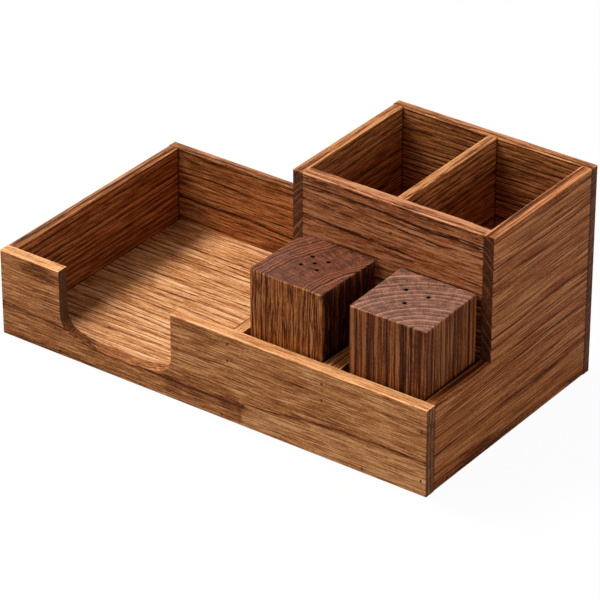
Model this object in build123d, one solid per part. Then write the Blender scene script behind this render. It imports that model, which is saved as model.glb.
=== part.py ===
"""Table caddy of oiled hardwood boards: napkin tray, two shaker wells and a two-cell box.

Units are millimetres.  The origin is the middle of the footprint, on the table.
+X runs to the right along the front panel, +Y to the back and +Z up.
"""
from build123d import *
import os

# ------------------------------------------------------------------ driving dimensions
# The carcass
LENGTH = 350.0            # over the whole front panel
DEPTH = 194.0             # front face to back face
LOW_HEIGHT = 65.0         # front panel, tray walls and partitions
TALL_HEIGHT = 156.5       # two-cell box

FRONT_T = 9.0             # board thicknesses
SIDE_T = 8.0
BACK_T = 7.5
BASE_T = 7.5
WALL_T = 9.5              # front wall of the box
DIVIDER_T = 7.0
PARTITION_T = 8.0         # between the tray and the left well
MIDDLE_T = 13.0           # between the two wells

LEFT_ROOM = 6.0           # by which the left well is wider than its block
RIGHT_ROOM = 7.0          # the same for the right well and the cell behind it
WELL_ROOM = 4.0           # by which both wells are deeper than the blocks
BOX_SIDE_SHIFT = 2.5      # the box's left side stands this much right of the partition

EASE = 0.8                # rounded outer arrises of the boards
INNER_EASE = 0.5          # lighter rounding of the inner ones

# Finger notch in the front panel
NOTCH_W = 94.0
NOTCH_SHIFT = -1.0        # from the middle of the tray
NOTCH_FLOOR = 14.5        # lowest point of its curved bottom, above the table
NOTCH_SAG = 6.0           # rise of that curve at the notch's sides
NOTCH_R = 14.0            # lower corners

# Shaker blocks
BLOCK_W = 59.0            # square on plan
BLOCK_H = 105.5
BLOCK_EASE = 1.0          # rounding round the top
BLOCK_FOOT = 0.6          # bevel round the foot
LEFT_CORNER_R = 2.5       # upright corners of the left block
LEFT_WORN_R = 11.0        # its back left corner is rounded off much more
RIGHT_CORNER_R = 1.5      # upright corners of the right block
LEFT_TURN = -1.2          # degrees that each block stands askew in its well
RIGHT_TURN = 1.0
LEFT_OFFSET = (0.8, 0.4)  # of each block from the middle of its well
RIGHT_OFFSET = (1.0, 0.7)

CAVITY_R = 18.0           # bored from below
CAVITY_ROOF = 9.0         # wood left over the cavity
SEAT_R = 21.5             # counterbore for the stopper's flange
SEAT_DEPTH = 3.5
PIERCE_OVERRUN = 2.0      # of the dispensing drill, past the wood on either side

LEFT_HOLE_R = 1.2         # five dispensing holes, like the five on a die
LEFT_HOLE_PITCH = 12.6
LEFT_HOLES_AT = (0.8, 1.2)
RIGHT_HOLE_R = 1.3        # three dispensing holes, in a triangle
RIGHT_HOLE_CIRCLE_R = 9.8
RIGHT_HOLES_AT = (-2.2, 2.9)
RIGHT_HOLES_TURN = 30.0   # degrees from +X to the first of the three

# Stoppers
STOPPER_FIT = 0.06        # radial clearance of flange and sealing lip
STOPPER_RECESS = 0.8      # the flange lies this far inside the block's foot
FLANGE_ROOM = 0.3         # between the flange and the bottom of its counterbore
PLUG_LENGTH = 8.0
LIP_RISE = 0.8            # the sealing lip stands this far out of the plug
LIP_LEAD = 2.2            # length of the lip's slope towards the plug's end
PULL_SLOT_W = 5.0         # finger-nail slot across the flange
PULL_SLOT_L = 16.0
PULL_SLOT_DEPTH = 1.2

# Brads that pin the glued joints, of flat wire with a T head
BRAD_W = 1.25             # wire, and the narrow side of the head
BRAD_T = 1.05
BRAD_HEAD_W = 2.0
BRAD_HEAD_T = 0.8
BRAD_LENGTH = 20.0
BRAD_POINT = 1.5          # chisel point
BRAD_PUNCH = 0.4          # heads are punched this far below the face
BRAD_FIT = 0.03           # clearance in the wood, all round

BASE_BRAD_DROP = 0.75     # row into the edge of the base, below its middle
BASE_BRAD_INSET_X = 50.0  # from the ends of the front and back panels
BASE_BRAD_INSET_Y = 24.0  # from the front and back faces, along the sides
BASE_BRAD_BESIDE = 3.0    # the middle one of the front row, left of the partition
PAIR_PITCH = 12.4         # the pair into a partition, one above the other
LEFT_PAIR_DROP = 6.7      # upper one of the pair, below the panel's top
MIDDLE_PAIR_DROP = 9.7
LEFT_PAIR_SHIFT = -1.7    # of the pair from the middle of the partition's thickness
MIDDLE_PAIR_SHIFT = -1.5
CORNER_BRAD_LOW = 11.0    # into the end of a side, above the table
CORNER_BRAD_DROP = 17.0   # into the end of a side, below its top
DIVIDER_BRAD_DROP = 22.0  # into the divider's edges, below the rim
DIVIDER_BRAD_SHIFT = -1.8

# ------------------------------------------------------------------ places that follow
X_LEFT = -LENGTH / 2
X_RIGHT = LENGTH / 2
Y_FRONT = -DEPTH / 2
Y_BACK = DEPTH / 2

# From the right: the right well, the middle partition, the left well and its partition.
# The napkin tray takes what is left of the length.
RIGHT_INNER_X = X_RIGHT - SIDE_T
RIGHT_WELL_X0 = RIGHT_INNER_X - BLOCK_W - RIGHT_ROOM
MIDDLE_X0 = RIGHT_WELL_X0 - MIDDLE_T
DIVIDER_X0 = RIGHT_WELL_X0 - DIVIDER_T
LEFT_WELL_X0 = MIDDLE_X0 - BLOCK_W - LEFT_ROOM
PARTITION_X0 = LEFT_WELL_X0 - PARTITION_T
BOX_X0 = PARTITION_X0 + BOX_SIDE_SHIFT
TRAY_X0 = X_LEFT + SIDE_T

WELL_Y0 = Y_FRONT + FRONT_T
WALL_Y0 = WELL_Y0 + BLOCK_W + WELL_ROOM
WALL_Y1 = WALL_Y0 + WALL_T
BACK_Y0 = Y_BACK - BACK_T

NOTCH_X = (TRAY_X0 + PARTITION_X0) / 2 + NOTCH_SHIFT
LEFT_WELL_X = (LEFT_WELL_X0 + MIDDLE_X0) / 2
RIGHT_WELL_X = (RIGHT_WELL_X0 + RIGHT_INNER_X) / 2
WELL_Y = (WELL_Y0 + WALL_Y0) / 2
FLANGE_T = SEAT_DEPTH - STOPPER_RECESS - FLANGE_ROOM

LEFT_PAIR_X = PARTITION_X0 + PARTITION_T / 2 + LEFT_PAIR_SHIFT
MIDDLE_PAIR_X = MIDDLE_X0 + MIDDLE_T / 2 + MIDDLE_PAIR_SHIFT
DIVIDER_BRAD_X = DIVIDER_X0 + DIVIDER_T / 2 + DIVIDER_BRAD_SHIFT

STANDING = (Align.CENTER, Align.CENTER, Align.MIN)
FROM_CORNER = (Align.MIN, Align.MIN, Align.MIN)

# Directions in which brads are driven, as the turn that takes +Z there.  Heads stand
# upright in the front and back panels and lie along the grain in the sides.
TO_BACK = Rot(X=-90)
TO_FRONT = Rot(X=90)
TO_RIGHT = Rot(Y=90)
TO_LEFT = Rot(Y=-90)


# ------------------------------------------------------------------ helpers
def board(x0, x1, y0, y1, z0, z1):
    """A plain board between two corners."""
    return Pos(x0, y0, z0) * Box(x1 - x0, y1 - y0, z1 - z0, align=FROM_CORNER)


def edges_at(solid, **places):
    """Edges that lie wholly in every plane given, such as Y=10, Z=65."""
    def matches(edge):
        box = edge.bounding_box()
        return all(
            abs(getattr(box.min, axis) - place) < 1e-4 and abs(getattr(box.max, axis) - place) < 1e-4
            for axis, place in places.items()
        )
    return solid.edges().filter_by(matches)


def driven(places, turn):
    """Places of brads on a face, each with its direction."""
    return [Pos(*place) * turn for place in places]


def brads(spots):
    """The brads themselves, each with its head punched below the face."""
    wire = BRAD_T / 2
    crown = BRAD_HEAD_W / 2
    shoulder = BRAD_LENGTH - BRAD_POINT
    outline = Polyline(
        (-crown, 0), (crown, 0), (crown, BRAD_HEAD_T), (wire, BRAD_HEAD_T), (wire, shoulder),
        (0, BRAD_LENGTH), (-wire, shoulder), (-wire, BRAD_HEAD_T), (-crown, BRAD_HEAD_T),
        close=True)
    brad = extrude(Plane.YZ * make_face(outline), amount=BRAD_W / 2, both=True)
    return [spot * Pos(0, 0, BRAD_PUNCH) * brad for spot in spots]


def drilled(solid, *groups):
    """The solid with room for each group's brads, where they pass through it."""
    across = BRAD_W + 2 * BRAD_FIT
    head_room = BRAD_PUNCH + BRAD_HEAD_T + BRAD_FIT
    length_room = BRAD_PUNCH + BRAD_LENGTH + BRAD_FIT
    room = Box(across, BRAD_T + 2 * BRAD_FIT, length_room, align=STANDING)
    room += Box(across, BRAD_HEAD_W + 2 * BRAD_FIT, head_room, align=STANDING)
    for spots in groups:
        for spot in spots:
            solid -= spot * room
    return solid


# ------------------------------------------------------------------ brad places
BASE_BRAD_Z = BASE_T / 2 - BASE_BRAD_DROP
BASE_ROW_FRONT = [X_LEFT + BASE_BRAD_INSET_X, PARTITION_X0 - BASE_BRAD_BESIDE, X_RIGHT - BASE_BRAD_INSET_X]
BASE_ROW_BACK = [X_LEFT + BASE_BRAD_INSET_X, 0, X_RIGHT - BASE_BRAD_INSET_X]
BASE_ROW_SIDE = [Y_FRONT + BASE_BRAD_INSET_Y, 0, Y_BACK - BASE_BRAD_INSET_Y]
CORNER_LOW_Z = (CORNER_BRAD_LOW, LOW_HEIGHT - CORNER_BRAD_DROP)
CORNER_TALL_Z = (CORNER_BRAD_LOW, TALL_HEIGHT / 2, TALL_HEIGHT - CORNER_BRAD_DROP)

front_base_spots = driven([(x, Y_FRONT, BASE_BRAD_Z) for x in BASE_ROW_FRONT], TO_BACK)
front_corner_spots = driven([(X_RIGHT - SIDE_T / 2, Y_FRONT, z) for z in CORNER_LOW_Z], TO_BACK)
left_pair_spots = driven(
    [(LEFT_PAIR_X, Y_FRONT, LOW_HEIGHT - LEFT_PAIR_DROP - n * PAIR_PITCH) for n in (0, 1)], TO_BACK)
middle_pair_spots = driven(
    [(MIDDLE_PAIR_X, Y_FRONT, LOW_HEIGHT - MIDDLE_PAIR_DROP - n * PAIR_PITCH) for n in (0, 1)], TO_BACK)
right_base_spots = driven([(X_RIGHT, y, BASE_BRAD_Z) for y in BASE_ROW_SIDE], TO_LEFT)
left_base_spots = driven([(X_LEFT, y, BASE_BRAD_Z) for y in BASE_ROW_SIDE], TO_RIGHT)
back_base_spots = driven([(x, Y_BACK, BASE_BRAD_Z) for x in BASE_ROW_BACK], TO_FRONT)
back_left_spots = driven([(X_LEFT + SIDE_T / 2, Y_BACK, z) for z in CORNER_LOW_Z], TO_FRONT)
back_right_spots = driven([(X_RIGHT - SIDE_T / 2, Y_BACK, z) for z in CORNER_TALL_Z], TO_FRONT)
back_box_spots = driven([(BOX_X0 + SIDE_T / 2, Y_BACK, z) for z in CORNER_TALL_Z], TO_FRONT)
back_divider_spots = driven(
    [(DIVIDER_X0 + DIVIDER_T / 2, Y_BACK, z) for z in CORNER_TALL_Z], TO_FRONT)
wall_divider_spots = driven(
    [(DIVIDER_BRAD_X, WALL_Y0, z) for z in (TALL_HEIGHT / 2, TALL_HEIGHT - DIVIDER_BRAD_DROP)], TO_BACK)


# ------------------------------------------------------------------ boards
def make_base_panel():
    """Floor of every compartment, let in between the four outer boards."""
    base = board(TRAY_X0, RIGHT_INNER_X, WELL_Y0, BACK_Y0, 0, BASE_T)
    return drilled(base, front_base_spots, back_base_spots, left_base_spots, right_base_spots)


def notch_tool():
    """The finger notch: upright sides, an arched bottom and rounded lower corners."""
    x0 = NOTCH_X - NOTCH_W / 2
    x1 = NOTCH_X + NOTCH_W / 2
    shoulder = NOTCH_FLOOR + NOTCH_SAG
    top = LOW_HEIGHT + FRONT_T
    bottom = ThreePointArc((x0, shoulder), (NOTCH_X, NOTCH_FLOOR), (x1, shoulder))
    outline = Wire([
        bottom,
        Line((x1, shoulder), (x1, top)),
        Line((x1, top), (x0, top)),
        Line((x0, top), (x0, shoulder)),
    ])
    face = make_face(outline)
    lower = face.vertices().group_by(Axis.Y)[0]
    face = fillet(lower, NOTCH_R)
    upright = Plane.XZ.offset(-Y_FRONT + FRONT_T)
    return extrude(upright * face, amount=-3 * FRONT_T)


def make_front_panel():
    """Full-length front board, which covers the ends of both sides."""
    panel = board(X_LEFT, X_RIGHT, Y_FRONT, WELL_Y0, 0, LOW_HEIGHT) - notch_tool()
    panel = fillet(edges_at(panel, Y=Y_FRONT), EASE)
    inner = edges_at(panel, Y=WELL_Y0).filter_by(lambda edge: edge.bounding_box().min.Z > BASE_T)
    inner = inner.filter_by(lambda edge: abs(edge.center().X) < LENGTH / 2 - SIDE_T)
    panel = fillet(inner, INNER_EASE)
    return drilled(panel, front_base_spots, front_corner_spots, left_pair_spots, middle_pair_spots)


def make_back_panel():
    """Full-length back board, low behind the tray and tall behind the box."""
    outline = Polyline(
        (X_LEFT, 0), (X_RIGHT, 0), (X_RIGHT, TALL_HEIGHT), (BOX_X0, TALL_HEIGHT),
        (BOX_X0, LOW_HEIGHT), (X_LEFT, LOW_HEIGHT), close=True)
    panel = extrude(Plane.XZ.offset(-Y_BACK) * make_face(outline), amount=BACK_T)
    panel = fillet(edges_at(panel, Y=Y_BACK), EASE)
    rims = edges_at(panel, Y=BACK_Y0, Z=TALL_HEIGHT) + edges_at(panel, Y=BACK_Y0, Z=LOW_HEIGHT)
    panel = fillet(rims, INNER_EASE)
    panel = drilled(panel, back_base_spots, back_left_spots, back_right_spots)
    return drilled(panel, back_box_spots, back_divider_spots)


def make_left_side_panel():
    """Left wall of the tray, between the front and back panels."""
    side = board(X_LEFT, TRAY_X0, WELL_Y0, BACK_Y0, 0, LOW_HEIGHT)
    side = fillet(edges_at(side, X=X_LEFT, Z=LOW_HEIGHT) + edges_at(side, X=X_LEFT, Z=0), EASE)
    side = fillet(edges_at(side, X=TRAY_X0, Z=LOW_HEIGHT), INNER_EASE)
    return drilled(side, left_base_spots, back_left_spots)


def make_right_side_panel():
    """Right wall in one stepped board: low beside the well, tall beside the box."""
    outline = Polyline(
        (WELL_Y0, 0), (BACK_Y0, 0), (BACK_Y0, TALL_HEIGHT), (WALL_Y0, TALL_HEIGHT),
        (WALL_Y0, LOW_HEIGHT), (WELL_Y0, LOW_HEIGHT), close=True)
    side = extrude(Plane.YZ.offset(RIGHT_INNER_X) * make_face(outline), amount=SIDE_T)
    rims = edges_at(side, X=X_RIGHT, Z=TALL_HEIGHT) + edges_at(side, X=X_RIGHT, Z=LOW_HEIGHT)
    front_arris = edges_at(side, X=X_RIGHT, Y=WALL_Y0)
    side = fillet(rims + front_arris + edges_at(side, X=X_RIGHT, Z=0), EASE)
    inner = edges_at(side, X=RIGHT_INNER_X, Z=TALL_HEIGHT) + edges_at(side, X=RIGHT_INNER_X, Z=LOW_HEIGHT)
    side = fillet(inner, INNER_EASE)
    return drilled(side, right_base_spots, front_corner_spots, back_right_spots)


def make_left_partition():
    """Low board between the tray and the left well."""
    partition = board(PARTITION_X0, LEFT_WELL_X0, WELL_Y0, WALL_Y0, BASE_T, LOW_HEIGHT)
    partition = fillet(edges_at(partition, Z=LOW_HEIGHT).filter_by(Axis.Y), INNER_EASE)
    return drilled(partition, left_pair_spots)


def make_middle_partition():
    """Thick low board between the two wells."""
    partition = board(MIDDLE_X0, RIGHT_WELL_X0, WELL_Y0, WALL_Y0, BASE_T, LOW_HEIGHT)
    partition = fillet(edges_at(partition, Z=LOW_HEIGHT).filter_by(Axis.Y), INNER_EASE)
    return drilled(partition, middle_pair_spots)


def make_box_left_side():
    """Tall board between the tray and the box."""
    side = board(BOX_X0, BOX_X0 + SIDE_T, WALL_Y0, BACK_Y0, BASE_T, TALL_HEIGHT)
    outer = edges_at(side, X=BOX_X0, Z=TALL_HEIGHT) + edges_at(side, X=BOX_X0, Y=WALL_Y0)
    side = fillet(outer, EASE)
    side = fillet(edges_at(side, X=BOX_X0 + SIDE_T, Z=TALL_HEIGHT), INNER_EASE)
    return drilled(side, back_box_spots)


def make_box_front_wall():
    """Tall board between the two sides of the box, flush with their front ends."""
    wall = board(BOX_X0 + SIDE_T, RIGHT_INNER_X, WALL_Y0, WALL_Y1, BASE_T, TALL_HEIGHT)
    wall = fillet(edges_at(wall, Y=WALL_Y0, Z=TALL_HEIGHT), EASE)
    wall = fillet(edges_at(wall, Y=WALL_Y1, Z=TALL_HEIGHT), INNER_EASE)
    return drilled(wall, wall_divider_spots)


def make_box_divider():
    """Board that parts the box into two cells."""
    divider = board(DIVIDER_X0, RIGHT_WELL_X0, WALL_Y1, BACK_Y0, BASE_T, TALL_HEIGHT)
    divider = fillet(edges_at(divider, Z=TALL_HEIGHT).filter_by(Axis.Y), INNER_EASE)
    return drilled(divider, wall_divider_spots, back_divider_spots)


# ------------------------------------------------------------------ shakers
def die_five_holes():
    """Places of the left block's dispensing holes."""
    corners = GridLocations(LEFT_HOLE_PITCH, LEFT_HOLE_PITCH, 2, 2)
    return [Pos(*LEFT_HOLES_AT)] + [Pos(*LEFT_HOLES_AT) * corner for corner in corners]


def triangle_holes():
    """Places of the right block's dispensing holes, with one towards the front."""
    ring = PolarLocations(RIGHT_HOLE_CIRCLE_R, 3, start_angle=RIGHT_HOLES_TURN)
    return [Pos(*RIGHT_HOLES_AT) * place for place in ring]


def shaker_block(corner_radii, hole_places, hole_radius):
    """A square block on its foot, bored from below and pierced through the top.

    The corner radii run from the front left corner, anticlockwise from above.
    """
    half = BLOCK_W / 2
    plan = Rectangle(BLOCK_W, BLOCK_W)
    for (x, y), radius in zip(((-half, -half), (half, -half), (half, half), (-half, half)), corner_radii):
        corner = plan.vertices().sort_by_distance((x, y, 0))[0]
        plan = fillet(corner, radius)
    block = extrude(plan, amount=BLOCK_H)
    block = fillet(edges_at(block, Z=BLOCK_H), BLOCK_EASE)
    block = chamfer(edges_at(block, Z=0), BLOCK_FOOT)
    block -= Cylinder(CAVITY_R, BLOCK_H - CAVITY_ROOF, align=STANDING)
    block -= Cylinder(SEAT_R, SEAT_DEPTH, align=STANDING)
    drill = Cylinder(hole_radius, CAVITY_ROOF + 2 * PIERCE_OVERRUN, align=STANDING)
    drill = Pos(0, 0, BLOCK_H - CAVITY_ROOF - PIERCE_OVERRUN) * drill
    for place in hole_places:
        block -= place * drill
    return block


def stopper():
    """A soft bung turned in one outline: flange, slimmer plug and a sealing lip at its end."""
    flange_r = SEAT_R - STOPPER_FIT
    lip_r = CAVITY_R - STOPPER_FIT
    plug_r = lip_r - LIP_RISE
    top = FLANGE_T + PLUG_LENGTH
    lip = top - LIP_LEAD
    outline = Polyline(
        (0, 0), (flange_r, 0), (flange_r, FLANGE_T), (plug_r, FLANGE_T),
        (plug_r, lip - LIP_RISE), (lip_r, lip), (plug_r, top), (0, top), close=True)
    bung = revolve(Plane.XZ * make_face(outline), Axis.Z)
    bung -= extrude(SlotOverall(PULL_SLOT_L, PULL_SLOT_W), amount=PULL_SLOT_DEPTH)
    return Pos(0, 0, STOPPER_RECESS) * bung


# ------------------------------------------------------------------ the set of pieces
LEFT_RADII = (LEFT_CORNER_R, LEFT_CORNER_R, LEFT_CORNER_R, LEFT_WORN_R)
RIGHT_RADII = (RIGHT_CORNER_R,) * 4
LEFT_PLACE = Pos(LEFT_WELL_X + LEFT_OFFSET[0], WELL_Y + LEFT_OFFSET[1], BASE_T) * Rot(Z=LEFT_TURN)
RIGHT_PLACE = Pos(RIGHT_WELL_X + RIGHT_OFFSET[0], WELL_Y + RIGHT_OFFSET[1], BASE_T) * Rot(Z=RIGHT_TURN)

pieces = {
    "base_panel": make_base_panel(),
    "front_panel": make_front_panel(),
    "back_panel": make_back_panel(),
    "left_side_panel": make_left_side_panel(),
    "right_side_panel": make_right_side_panel(),
    "left_partition": make_left_partition(),
    "middle_partition": make_middle_partition(),
    "box_left_side": make_box_left_side(),
    "box_front_wall": make_box_front_wall(),
    "box_divider": make_box_divider(),
    "left_shaker_block": LEFT_PLACE * shaker_block(LEFT_RADII, die_five_holes(), LEFT_HOLE_R),
    "right_shaker_block": RIGHT_PLACE * shaker_block(RIGHT_RADII, triangle_holes(), RIGHT_HOLE_R),
    "left_shaker_stopper": LEFT_PLACE * stopper(),
    "right_shaker_stopper": RIGHT_PLACE * stopper(),
}
brad_groups = {
    "front_base_brads": front_base_spots,
    "front_corner_brads": front_corner_spots,
    "left_partition_brads": left_pair_spots,
    "middle_partition_brads": middle_pair_spots,
    "right_side_brads": right_base_spots,
    "left_side_brads": left_base_spots,
    "back_base_brads": back_base_spots,
    "back_corner_brads": back_left_spots + back_right_spots + back_box_spots,
    "divider_brads": back_divider_spots + wall_divider_spots,
}
for name, spots in brad_groups.items():
    pieces[name] = Compound(children=brads(spots))

os.makedirs("parts", exist_ok=True)
for name, piece in pieces.items():
    export_step(piece, f"parts/{name}.step")
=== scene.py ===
"""Looks of the table caddy: oiled wood for boards and blocks, rubber stoppers, steel brads, a stage."""

import bpy
from bpy.props import FloatProperty, FloatVectorProperty, PointerProperty
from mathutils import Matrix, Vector


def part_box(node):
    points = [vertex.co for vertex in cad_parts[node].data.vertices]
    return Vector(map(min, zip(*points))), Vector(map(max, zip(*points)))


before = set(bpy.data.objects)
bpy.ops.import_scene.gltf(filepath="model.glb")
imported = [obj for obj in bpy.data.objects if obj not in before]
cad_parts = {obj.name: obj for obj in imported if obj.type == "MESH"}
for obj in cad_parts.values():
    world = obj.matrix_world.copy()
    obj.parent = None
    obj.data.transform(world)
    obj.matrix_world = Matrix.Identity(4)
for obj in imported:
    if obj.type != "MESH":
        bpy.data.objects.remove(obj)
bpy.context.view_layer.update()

bl_info = {
    "name": "Table Caddy Finish",
    "version": (1, 0, 0),
    "blender": (4, 5, 0),
    "location": "View3D > Sidebar > Caddy",
    "description": "Oiled wood, rubber and steel for a napkin and shaker caddy, and its stage",
    "category": "Material",
}

MM = 0.001

# ------------------------------------------------------------------ boards
# What every board has unless its own entry says otherwise.  Lengths are in mm.
#   grain       axis of the fibres
#   heart       where the tree's heart lay, across the grain (Y Z, X Z or X Y of the part)
#   spacing     of the growth rings
#   wander      how far the rings stray over long and over short stretches
#   wander_size length and width of a short stretch
#   sway        how far the fibres bend to either side, and sway_size the length and width of a bend
#   plain       radius and half width of a band without rings, or None
#   ring, streak, fibre, fine, grit, blotch, pore, glint: how strongly each shows in the tone
#   *_size      length along the grain and width across it
#   tone, end, rim: shift towards dark (+) or light (-) of the board, its cut ends and its top edge
#   end_ring, end_pale, ray, speck: dark lines, pale lines, rays and specks on the cut ends
#   top_streak  strength of the streaks on the top edge
#   bands       darker (+) or paler (-) bands: axis across, place, half width, strength and, for a band
#               that ends below the top, the height at which it has faded
#    meets       neighbours whose faces leave a line of painted shade in the corner, by the axis across that face
PLAIN_BOARD = {
    "grain": "X", "heart": (200.0, -160.0), "spacing": 4.2,
    "wander": (5.0, 1.0), "wander_size": (26.0, 7.0), "sway": 1.6, "sway_size": (55.0, 20.0),
    "plain": None, "ring": 0.75, "dash_size": (26.0, 0.9),
    "streak": 1.1, "streak_size": (70.0, 2.6), "fibre": 1.4, "fibre_size": (30.0, 1.0),
    "fine": 1.5, "fine_size": (14.0, 0.8), "grit": 0.7, "blotch": 0.30, "pore": 0.35, "glint": 0.0,
    "tone": 0.0, "end": 0.2, "end_ring": 0.5, "end_pale": 0.5, "ray": 0.2, "speck": 0.95,
    "rim": 0.0, "top_streak": 0.55, "bands": (), "meets": {}, "seed": 1.0, "colours": "wall",
}

BOARDS = {
    "front_panel": {
        "heart": (400.0, 30.0), "spacing": 4.0,
        "wander": (2.0, 0.4), "sway": 0.6, "sway_size": (80.0, 24.0),
        "ring": 0.2, "streak": 0.5, "streak_size": (90.0, 2.4), "fibre": 1.1, "fibre_size": (40.0, 1.0),
        "fine": 1.7, "fine_size": (15.0, 0.75), "end": 0.3, "end_ring": 1.7, "end_pale": 0.8,
        "rim": -0.22, "top_streak": 0.4, "seed": 3.0, "colours": "front",
    },
    "base_panel": {
        "heart": (-330.0, -190.0), "spacing": 4.6,
        "wander": (5.0, 0.5), "sway": 0.5, "ring": 0.8, "dash_size": (26.0, 1.2),
        "streak": 0.95, "streak_size": (45.0, 2.2), "fibre": 1.3, "fibre_size": (24.0, 1.1),
        "fine": 1.3, "fine_size": (12.0, 0.8),
        "meets": {"X": ("left_side_panel",)}, "seed": 7.0, "colours": "tray",
    },
    "left_side_panel": {
        "grain": "Y", "heart": (-300.0, -220.0), "spacing": 3.8,
        "wander": (2.0, 0.4), "wander_size": (60.0, 8.0), "sway": 0.5,
        "ring": 1.1, "dash_size": (70.0, 2.0), "streak": 0.8, "fibre_size": (40.0, 1.0), "rim": 0.12,
        "meets": {"Y": ("back_panel",), "Z": ("base_panel",)}, "seed": 11.0,
    },
    "back_panel": {
        "heart": (240.0, -180.0), "spacing": 4.4, "sway": 0.9,
        "ring": 1.05, "dash_size": (36.0, 1.2), "glint": 0.4,
        "meets": {
            "X": ("left_side_panel", "box_left_side", "box_divider", "right_side_panel"),
            "Z": ("base_panel",),
        },
        "seed": 13.0,
    },
    "right_side_panel": {
        "grain": "Y", "heart": (21.0, -20.0), "spacing": 5.0,
        "wander": (3.0, 0.4), "sway": 0.5, "sway_size": (90.0, 24.0),
        "ring": 0.75, "dash_size": (110.0, 1.8), "streak": 0.4, "streak_size": (140.0, 2.0),
        "fibre": 1.6, "fibre_size": (90.0, 1.0), "fine": 1.9, "fine_size": (36.0, 0.7),
        "end": 0.35, "end_pale": 0.8, "rim": 0.08, "top_streak": 0.35,
        "bands": (("X", 169.9, 1.4, 0.5), ("X", 173.0, 1.8, -0.12)), "seed": 17.0, "colours": "side",
    },
    "box_left_side": {
        "grain": "Y", "heart": (181.0, 0.0), "spacing": 3.9, "wander": (3.0, 0.5),
        "end": 0.3, "end_pale": 1.0, "rim": -0.15, "meets": {"Y": ("back_panel",)}, "seed": 19.0,
    },
    "box_front_wall": {
        "heart": (-140.0, 260.0), "spacing": 6.4, "wander": (6.0, 0.7), "sway": 1.1,
        "ring": 1.15, "dash_size": (45.0, 1.4), "streak": 1.4, "streak_size": (90.0, 3.4),
        "fine": 1.5, "glint": 1.2, "rim": -0.12, "top_streak": 1.1,
        # The band at X 166 is a painted shadow of the right block on the wall beside it, faded above the
        # block's top
        "bands": (("X", 166.0, 7.0, 0.6, 116.0),), "seed": 23.0, "colours": "box",
    },
    "box_divider": {
        "grain": "Y", "heart": (-40.0, -120.0), "spacing": 4.0, "rim": -0.18,
        "meets": {"Y": ("back_panel",)}, "seed": 29.0,
    },
    "left_partition": {
        "grain": "Y", "heart": (140.0, -90.0), "tone": 0.18, "seed": 31.0, "colours": "tray",
    },
    "middle_partition": {
        "grain": "Y", "heart": (-40.0, -90.0), "tone": 0.2, "seed": 37.0, "colours": "wall",
    },
    "left_shaker_block": {
        "grain": "Z", "heart": (166.0, -91.0), "spacing": 3.0,
        "wander": (2.0, 0.8), "wander_size": (40.0, 12.0), "sway": 2.2, "sway_size": (34.0, 12.0),
        "plain": (111.0, 14.0), "ring": 0.9, "streak": 1.6, "streak_size": (70.0, 2.6),
        "fibre": 1.6, "fibre_size": (30.0, 1.1), "fine": 1.6,
        "end": 0.12, "end_ring": 3.4, "end_pale": 0.9, "ray": 0.5,
        # The band at X 86.6 is painted shade on the block's face toward the right block, in the slot
        # between them
        "bands": (("X", 86.6, 3.0, 0.55),), "seed": 41.0, "colours": "dark_block",
    },
    "right_shaker_block": {
        "grain": "Z", "heart": (175.0, -104.0), "spacing": 4.7, "wander": (2.0, 0.3), "sway": 0.7,
        "ring": 0.75, "dash_size": (90.0, 2.0), "streak": 1.0, "streak_size": (130.0, 4.5),
        "fibre": 1.2, "fibre_size": (60.0, 1.4), "fine": 1.3, "fine_size": (24.0, 0.7),
        "end": 0.14, "end_ring": 0.5, "end_pale": 0.6, "ray": 0.3, "speck": 0.6,
        "bands": (
            ("X", 108.7, 2.4, -0.18), ("X", 111.6, 1.8, 0.15), ("X", 117.0, 3.2, -0.2),
            ("X", 121.2, 2.2, 0.33), ("X", 125.5, 2.2, -0.18), ("X", 129.5, 2.0, 0.15),
            ("X", 135.0, 2.4, 0.15), ("X", 141.0, 3.4, -0.24), ("X", 146.6, 2.6, 0.38),
            ("X", 150.2, 1.8, -0.18), ("X", 153.6, 1.8, 0.2),
        ),
        "seed": 43.0, "colours": "light_block",
    },
}
TRAY_BOARDS = ("base_panel", "left_side_panel", "back_panel", "left_partition", "middle_partition")
BOX_BOARDS = ("right_side_panel", "box_left_side", "box_front_wall", "box_divider")
SHAKER_BLOCKS = ("left_shaker_block", "right_shaker_block")
BRAD_NODES = [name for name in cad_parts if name.endswith("_brads")]
STOPPER_NODES = [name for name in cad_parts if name.endswith("_stopper")]

# Each noise of a board has its own seed: the board's seed plus the noise's place in this row
NOISES = (
    "slow_stray", "quick_stray", "uneven", "streak", "fibre", "blotch", "pore", "glint", "dash",
    "ragged", "broken", "fine", "ray", "speck", "cloud", "aside", "upward", "top_streak", "grit",
)
SEED_STRIDE = 37.0  # how far apart along the grain the noises of two seeds lie
GRAIN_ORDER = {"X": "XYZ", "Y": "YXZ", "Z": "ZXY"}  # the axes, with the one along the fibres first

# ------------------------------------------------------------------ wood, in mm and in tone
MID_TONE = 0.45  # tone of a board's common colour, between 0 for its palest and 1 for its darkest wood
HALF = 0.5  # share of a strength that streaks, fibres, fine lines, grit and blotches add

# Sizes of noise that all boards share: length along the grain and width across it
SLOW_STRAY_SIZE = (160.0, 45.0)
GRIT_SIZE = (2.2, 0.8)
BLOTCH_SIZE = (110.0, 24.0)
GLINT_SIZE = (12.0, 0.8)
TOP_STREAK_SIZE = (50.0, 2.6)
SPECK_SIZE = (6.0, 0.9)
CLOUD_SIZE = (30.0, 6.0)
PORE_LENGTH = 12.0

# Tone over one growth ring: a dark line, a quick fade, and pale wood before the next line
RING_TONE = (
    (0.0, 1.0), (0.08, 0.80), (0.20, 0.34), (0.50, 0.18), (0.82, 0.0), (0.93, 0.30), (1.0, 1.0),
)
RING_MEAN = 0.28
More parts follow.
